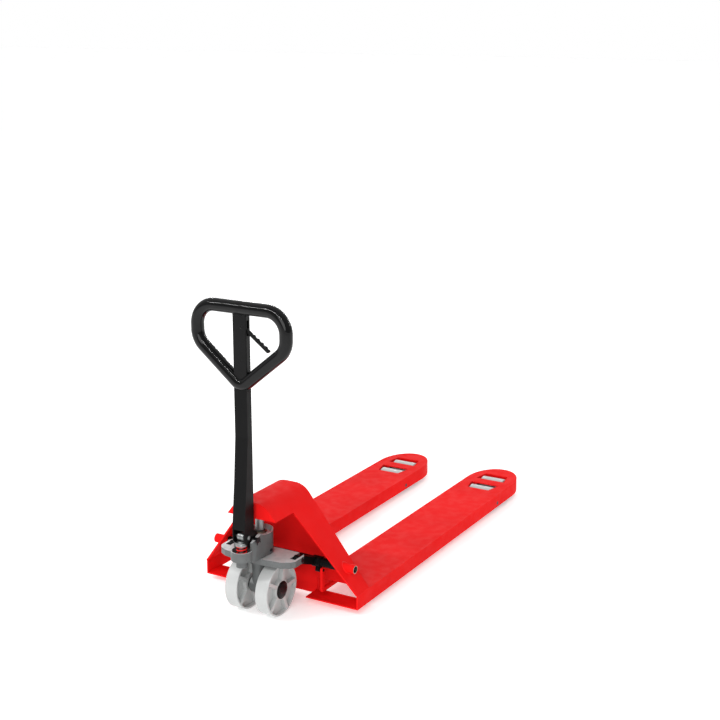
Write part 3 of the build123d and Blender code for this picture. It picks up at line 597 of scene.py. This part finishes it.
def make_release_lever():
    """Finger paddle, boss and the short inner arm that lifts the rod."""
    start = Vector((LOOP_X, LEVER_PIVOT.y, LEVER_PIVOT.z))
    end = Vector((LOOP_X, LEVER_TIP.y, LEVER_TIP.z))
    along = (end - start).normalized()
    above = Vector((0, along.z, -along.y))
    across_x = Vector((1, 0, 0))
    stations, sides = 72, 20
    bm = bmesh.new()
    rings = []
    for i in range(stations + 1):
        share = i / stations
        top, low = lever_profile(share)
        middle = start.lerp(end, share)
        ring = []
        for k in range(sides):
            a = TAU * k / sides
            c, w = math.cos(a), math.sin(a)
            # a squarish section: the power flattens its sides
            up = math.copysign(abs(c) ** 0.6, c) * (top if c > 0 else low)
            wide = math.copysign(abs(w) ** 0.6, w) * LEVER_HALF_THICKNESS
            ring.append(bm.verts.new(middle - above * up + across_x * wide))
        rings.append(ring)
    for first, second in zip(rings, rings[1:]):
        join_rings(bm, first, second)
    bm.faces.new(list(reversed(rings[0])))
    bm.faces.new(rings[-1])
    half = LEVER_HALF_THICKNESS
    boss = [(-half, 0.0031), (-half, 0.0055), (-half + 0.001, 0.0065), (half - 0.001, 0.0065),
            (half, 0.0055), (half, 0.0031)]
    add_lathe(bm, boss, start, across_x, closed=True)
    inner_end = Vector((LOOP_X, 0.009, 0.8705))
    add_tube(bm, line_points(start, inner_end, 0.002), lambda i: 0.0042, sides=16)
    make_piece("release_paddle", bm, MATERIALS["black_plastic"], "release_lever",
               ["release_lever"])


def make_lever_rivets():
    """Heads of the lever's pin on both faces of the housing."""
    low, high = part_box("control_housing")
    bm = bmesh.new()
    head = [(-0.0005, 0), (-0.0005, 0.0046), (0.0006, 0.0046), (0.0014, 0.0036),
            (0.0018, 0.0018), (0.0018, 0)]
    for x, way in ((low[0], -1), (high[0], 1)):
        add_lathe(bm, head, (x, LEVER_PIVOT.y, LEVER_PIVOT.z), (way, 0, 0), sides=32)
    make_piece("lever_rivets", bm, MATERIALS["black_plastic"], "handle")


def make_housing_collar():
    """Moulded collar that closes the gap between the housing and the top bar."""
    low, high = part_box("control_housing")
    middle = (Vector(low) + Vector(high)) / 2
    half_x, half_y = (high[0] - low[0]) / 2 + 0.0012, (high[1] - low[1]) / 2 + 0.0012
    top = LOOP_CORNERS[0][1] - LOOP_TUBE * 0.80
    corner = 0.0042
    bm = bmesh.new()
    rings = []
    for z, grow in ((top - 0.0065, -0.0013), (top - 0.006, 0), (top - 0.0012, 0), (top, -0.001)):
        ring = []
        for k in range(48):
            a = TAU * (k + 0.5) / 48
            # a rounded rectangle: straight sides with quarter-circle corners
            c, w = math.cos(a), math.sin(a)
            reach = min((half_x - corner) / max(abs(c), 1e-6), (half_y - corner) / max(abs(w), 1e-6))
            flat = Vector((c * reach, w * reach, 0))
            out = Vector((c, w, 0)) * (corner + grow)
            ring.append(bm.verts.new(Vector((middle.x, middle.y, z)) + flat + out))
        rings.append(ring)
    for first, second in zip(rings, rings[1:]):
        join_rings(bm, first, second)
    bm.faces.new(list(reversed(rings[0])))
    bm.faces.new(rings[-1])
    make_piece("housing_collar", bm, MATERIALS["black_plastic"], "handle")


def make_push_roller():
    """Hardened roller that presses the plunger down: chamfered, with an oil groove."""
    low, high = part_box("push_roller")
    middle = (Vector(low) + Vector(high)) / 2
    half, radius = (high[1] - low[1]) / 2, (high[2] - low[2]) / 2
    bore = radius * 0.425
    profile = [(-half, bore), (-half, radius - 0.0016), (-half + 0.0014, radius - 0.0002),
               (-0.0011, radius), (-0.0007, radius - 0.0007), (0.0007, radius - 0.0007),
               (0.0011, radius), (half - 0.0014, radius - 0.0002), (half, radius - 0.0016),
               (half, bore)]
    bm = bmesh.new()
    add_lathe(bm, profile, middle, (0, 1, 0), closed=True)
    make_piece("push_roller_body", bm, MATERIALS["steel"], "push_roller", ["push_roller"])


# ---------------------------------------------------------------- pump
def make_plunger():
    """Rod with a shouldered cap that holds the spring."""
    low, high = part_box("plunger")
    middle = centre_of("plunger")
    skirt_r = (high[0] - low[0]) / 2
    top, foot = high[2], low[2]
    skirt = top - 0.0134
    profile = [(foot, 0), (foot, 0.0072), (foot + 0.0008, 0.008), (top - 0.003, 0.008),
               (top - 0.003, skirt_r - 0.001), (skirt, skirt_r - 0.001), (skirt, skirt_r - 0.0003),
               (skirt + 0.0003, skirt_r), (top - 0.0072, skirt_r), (top - 0.0058, skirt_r - 0.0008),
               (top - 0.0036, skirt_r - 0.0036), (top - 0.0014, 0.0112), (top - 0.0005, 0.0104),
               (top, 0.0096), (top, 0)]
    bm = bmesh.new()
    add_lathe(bm, profile, (middle.x, middle.y, 0), (0, 0, 1), sides=56)
    make_piece("plunger_body", bm, MATERIALS["steel"], "plunger", ["plunger"])


def make_plunger_spring():
    """Wound spring with closed ends, drawn at one length; the handle squeezes the real one as it pumps.
    """
    low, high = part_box("plunger_spring")
    middle = centre_of("plunger_spring")
    outer = (high[0] - low[0]) / 2
    wire = 0.0018
    turns, steps = 6.5, 40
    travel = high[2] - low[2] - 2 * wire
    points = []
    for i in range(int(turns * steps) + 1):
        t = i / (turns * steps)
        # closed coils at both ends: the pitch eases in and out
        eased = t - 0.09 * math.sin(TAU * t)
        a = TAU * turns * t
        points.append(Vector((middle.x + (outer - wire) * math.cos(a),
                              middle.y + (outer - wire) * math.sin(a),
                              low[2] + wire + travel * eased)))
    bm = bmesh.new()
    add_tube(bm, points, lambda i: wire, sides=12)
    piece = make_piece("spring_coil", bm, MATERIALS["spring_paint"], "pump",
                       ["plunger_spring"])
    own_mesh(piece)


def make_pivot_hardware():
    """Retaining rings on the handle's pivot pin and on the push roller's pin."""
    pivot = centre_of("handle_pivot_pin")
    low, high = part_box("handle_pivot_pin")
    radius = (high[2] - low[2]) / 2
    bm = bmesh.new()
    for way in (-1, 1):
        end = high[1] if way > 0 else low[1]
        face = Vector((pivot.x, end - way * 0.0006, pivot.z))
        add_circlip(bm, face, (0, way, 0), radius * 0.72, radius * 1.30, 0.0012, 60)
    make_piece("pivot_circlips", bm, DARK_STEEL, "pump")
    push = centre_of("push_roller_pin")
    low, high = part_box("push_roller_pin")
    bm = bmesh.new()
    dome = [(-0.0002, 0), (-0.0002, 0.0058), (0.0003, 0.0054), (0.0007, 0.0036), (0.0008, 0)]
    for y, way in ((low[1], -1), (high[1], 1)):
        add_lathe(bm, dome, (push.x, y, push.z), (0, way, 0), sides=32)
    make_piece("push_pin_domes", bm, MATERIALS["steel"], "handle")


def make_pump_fittings():
    """Grease nipple, drain screw and bleed screw on the casting."""
    low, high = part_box("pump_casting")
    middle = centre_of("ram")
    half = min(-low[1], high[1])
    bm = bmesh.new()
    add_grease_nipple(bm, (middle.x - 0.018, half - 0.0045, 0.192), (0, 1, 0), 0.0038)
    make_piece("pump_nipple", bm, MATERIALS["steel"], "pump")
    bm = bmesh.new()
    add_hex_bolt(bm, (middle.x + 0.006, half - 0.001, 0.196), (0, 1, 0), 0.0052, 0.0034)
    add_hex_bolt(bm, (middle.x, -half + 0.001, 0.197), (0, -1, 0), 0.0048, 0.0030)
    make_piece("pump_plugs", bm, DARK_STEEL, "pump")


def make_ram_scraper():
    """Rubber lip that wipes the ram, on top of its gland."""
    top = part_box("ram_gland")[1][2]
    ram_low, ram_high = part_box("ram")
    middle = centre_of("ram")
    bore = (ram_high[0] - ram_low[0]) / 2 + RUNNING_GAP
    profile = [(top - 0.0004, bore), (top - 0.0004, bore + 0.0028), (top + 0.0010, bore + 0.0026),
               (top + 0.0024, bore + 0.0008), (top + 0.0026, bore)]
    bm = bmesh.new()
    add_lathe(bm, profile, (middle.x, middle.y, 0), (0, 0, 1), closed=True)
    make_piece("ram_scraper", bm, RUBBER, "pump")


# ---------------------------------------------------------------- steered wheels
def make_hub_cap(side):
    """Pressed-in dome over the outer bearing."""
    node = "hub_cap_" + side
    low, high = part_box(node)
    way = 1 if side == "left" else -1
    face = low[1] if way > 0 else high[1]
    middle = centre_of(node)
    radius = (high[2] - low[2]) / 2
    deep = high[1] - low[1]
    seat = 0.0020
    profile = [(0, 0), (0, radius * 0.80), (seat, radius * 0.80), (seat, radius - 0.0006),
               (seat + 0.0006, radius), (seat + 0.0012, radius - 0.0004),
               (seat + 0.0016, radius - 0.0022), (seat + 0.0014, radius - 0.0030)]
    for i in range(1, 9):
        share = i / 8
        lift = math.sqrt(1 - (1 - share) ** 2)
        profile.append((seat + 0.0014 + (deep - seat - 0.0016) * lift,
                        (radius - 0.0030) * (1 - share) ** 0.75))
    bm = bmesh.new()
    add_lathe(bm, profile, (middle.x, face, middle.z), (0, way, 0), sides=64)
    make_piece("hub_dome_" + side, bm, MATERIALS["black_plastic"], "steer_wheel_" + side,
               [node])


def make_wheel_rings(side):
    """Bearing shields seen from between the two wheels."""
    low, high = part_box("steer_wheel_" + side)
    way = 1 if side == "left" else -1
    inner_face = low[1] if way > 0 else high[1]
    middle = centre_of("steer_wheel_" + side)
    profile = [(0.0006, 0.0112), (0.0002, 0.0125), (0.0002, 0.0180), (0.0006, 0.0190), (0.0016, 0.0190),
               (0.0016, 0.0112)]
    bm = bmesh.new()
    add_lathe(bm, profile, (middle.x, inner_face, middle.z), (0, way, 0), closed=True)
    make_piece("bearing_shield_" + side, bm, DARK_STEEL, "steer_wheel_" + side)


# ---------------------------------------------------------------- thrust plate and rocker
def make_wing_hardware():
    """Retaining rings on the outer ends of the wing pins."""
    low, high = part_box("wing_pins")
    pin = centre_of("wing_pins")
    radius = (high[2] - low[2]) / 2
    bm = bmesh.new()
    for y, way in ((high[1], 1), (low[1], -1)):
        groove = (pin.x, y - way * 0.0008, pin.z)
        add_circlip(bm, groove, (0, way, 0), radius * 0.7, radius * 1.5, 0.0012, 200)
        add_lathe(bm, [(-0.0012, radius * 0.5), (-0.0012, radius), (0.0004, radius * 0.8), (0.0004, 0)],
                  (pin.x, y, pin.z), (0, way, 0), sides=24)
    make_piece("wing_pin_rings", bm, DARK_STEEL, "base")


def make_rocker_welds():
    """Beads that fix the arms to the torsion tube."""
    shaft = centre_of("torsion_shaft")
    tube_low, tube_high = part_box("torsion_tube")
    radius = (tube_high[2] - tube_low[2]) / 2
    arm_inner_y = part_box("rocker_arm_left")[0][1]
    bm = bmesh.new()
    for way in (-1, 1):
        y = way * arm_inner_y
        ring = []
        for i in range(44):
            a = TAU * i / 44
            ring.append(Vector((shaft.x + (radius + 0.0008) * math.cos(a), y - way * 0.0006,
                                shaft.z + (radius + 0.0008) * math.sin(a))))
        add_weld(bm, ring, 0.0016, closed=True)
    make_piece("rocker_welds", bm, MATERIALS["black_paint"], "rocker")


def make_shaft_ends():
    """Turned end of the torsion shaft: ring and centre hole."""
    low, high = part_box("torsion_shaft")
    shaft = centre_of("torsion_shaft")
    radius = (high[2] - low[2]) / 2
    bm = bmesh.new()
    for y, way in ((high[1], 1), (low[1], -1)):
        groove = (shaft.x, y - way * 0.0012, shaft.z)
        add_circlip(bm, groove, (0, way, 0), radius * 0.8, radius * 1.16, 0.001, 90)
        centre_hole = [(0.0002, radius * 0.99), (0.0002, radius * 0.34),
                       (-0.0030, radius * 0.12), (-0.0030, 0)]
        add_lathe(bm, centre_hole, (shaft.x, y, shaft.z), (0, way, 0), sides=32)
    make_piece("shaft_end_rings", bm, DARK_STEEL, "rocker")


# ---------------------------------------------------------------- chassis
LEG_LOW, LEG_HIGH = (0.270, 0.0654), (0.083, 0.303)     # outer line of the sloping leg, as (y, z)


def leg_surface_y(z):
    share = (z - LEG_LOW[1]) / (LEG_HIGH[1] - LEG_LOW[1])
    return LEG_LOW[0] + (LEG_HIGH[0] - LEG_LOW[0]) * share


def make_boss_welds():
    """Bead round each torsion boss where it leaves the sloping leg."""
    shaft = centre_of("torsion_shaft")
    low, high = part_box("torsion_bosses")
    radius = (high[2] - low[2]) / 2
    bm = bmesh.new()
    for way in (-1, 1):
        ring = []
        for i in range(48):
            a = TAU * i / 48
            z = shaft.z + (radius + 0.0007) * math.sin(a)
            x = shaft.x + (radius + 0.0007) * math.cos(a)
            ring.append(Vector((x, way * (leg_surface_y(z) + 0.0003), z)))
        add_weld(bm, ring, 0.0019, closed=True)
    make_piece("boss_welds", bm, WELD, "chassis")


def make_frame_welds():
    """Beads where the back wall, fork tops, heel plates and hood meet."""
    wall_low, wall_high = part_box("back_wall")
    fork_low, fork_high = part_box("fork_left")
    floor_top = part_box("heel_plates")[0][2] + FORK_SHEET
    bm = bmesh.new()
    for way in (-1, 1):
        # wall to fork top, seen from behind
        start = Vector((wall_high[0], way * (fork_low[1] + FORK_SHEET), fork_high[2]))
        add_weld(bm, line_points(start, start + Vector((0, way * 0.155, 0)), WELD_STEP), 0.0021)
        # wall to the fork's inner side
        start = Vector((wall_high[0], way * fork_low[1], fork_low[2] + 0.003))
        add_weld(bm, line_points(start, start + Vector((0, 0, 0.040)), WELD_STEP), 0.0019)
        # heel plate to wall, seen from the front
        start = Vector((wall_low[0], way * (fork_low[1] + 0.006), floor_top))
        add_weld(bm, line_points(start, start + Vector((0, way * 0.150, 0)), WELD_STEP), 0.0017)
        # inner side of the leg to the wall
        foot = Vector((wall_low[0], way * (leg_surface_y(0.085) - 0.0064), 0.085))
        head = Vector((wall_low[0], way * (leg_surface_y(0.290) - 0.0064), 0.290))
        add_weld(bm, line_points(foot, head, WELD_STEP), 0.0018)
    make_piece("frame_welds", bm, WELD, "chassis")


def make_frame_nipples():
    """Grease nipples on the torsion bosses."""
    shaft = centre_of("torsion_shaft")
    low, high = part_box("torsion_bosses")
    radius = (high[2] - low[2]) / 2
    bm = bmesh.new()
    for way in (-1, 1):
        add_grease_nipple(bm, (shaft.x + 0.99 * radius, way * 0.240, shaft.z), (1, 0, 0), 0.0030)
    make_piece("boss_nipples", bm, MATERIALS["steel"], "chassis")


# ---------------------------------------------------------------- load ends
def make_roller_seals(where, side):
    """Rubber seal and steel ring at both ends of a load roller."""
    node = f"load_roller_{where}_{side}"
    low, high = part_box(node)
    middle = centre_of(node)
    bm_seal, bm_ring = bmesh.new(), bmesh.new()
    for y, way in ((high[1], 1), (low[1], -1)):
        end = (middle.x, y, middle.z)
        add_lathe(bm_seal, [(-0.0004, 0.0082), (0.0003, 0.0086), (0.0005, 0.0104), (0.0003, 0.0122),
                            (-0.0004, 0.0126)], end, (0, way, 0), closed=True)
        ring = washer_profile(-0.0004, 0.0004, 0.0062, 0.0081)
        add_lathe(bm_ring, ring, end, (0, way, 0), closed=True)
    make_piece(f"roller_seals_{where}_{side}", bm_seal, RUBBER, node)
    make_piece(f"roller_rings_{where}_{side}", bm_ring, MATERIALS["steel"], node)


def make_bogie_hardware(side):
    """Retaining rings on the bogie pin, outside the arm's plates."""
    node = "bogie_pin_" + side
    low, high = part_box(node)
    pin = centre_of(node)
    radius = (high[2] - low[2]) / 2
    bm = bmesh.new()
    for y, way in ((high[1], 1), (low[1], -1)):
        groove = (pin.x, y - way * 0.0016, pin.z)
        add_circlip(bm, groove, (0, way, 0), radius * 0.8, radius * 1.35, 0.001, 90)
    make_piece("bogie_pin_rings_" + side, bm, DARK_STEEL, "load_arm_" + side)


dress_cad_nodes()
make_camera()
make_floor()
make_light()
make_loop()
make_loop_welds()
make_release_lever()
make_lever_rivets()
make_housing_collar()
make_push_roller()
make_plunger()
make_plunger_spring()
make_pivot_hardware()
make_pump_fittings()
make_ram_scraper()
make_wing_hardware()
make_rocker_welds()
make_shaft_ends()
make_boss_welds()
make_frame_welds()
make_frame_nipples()
for side in ("left", "right"):
    make_hub_cap(side)
    make_wheel_rings(side)
    make_bogie_hardware(side)
    for where in ("front", "back"):
        make_roller_seals(where, side)
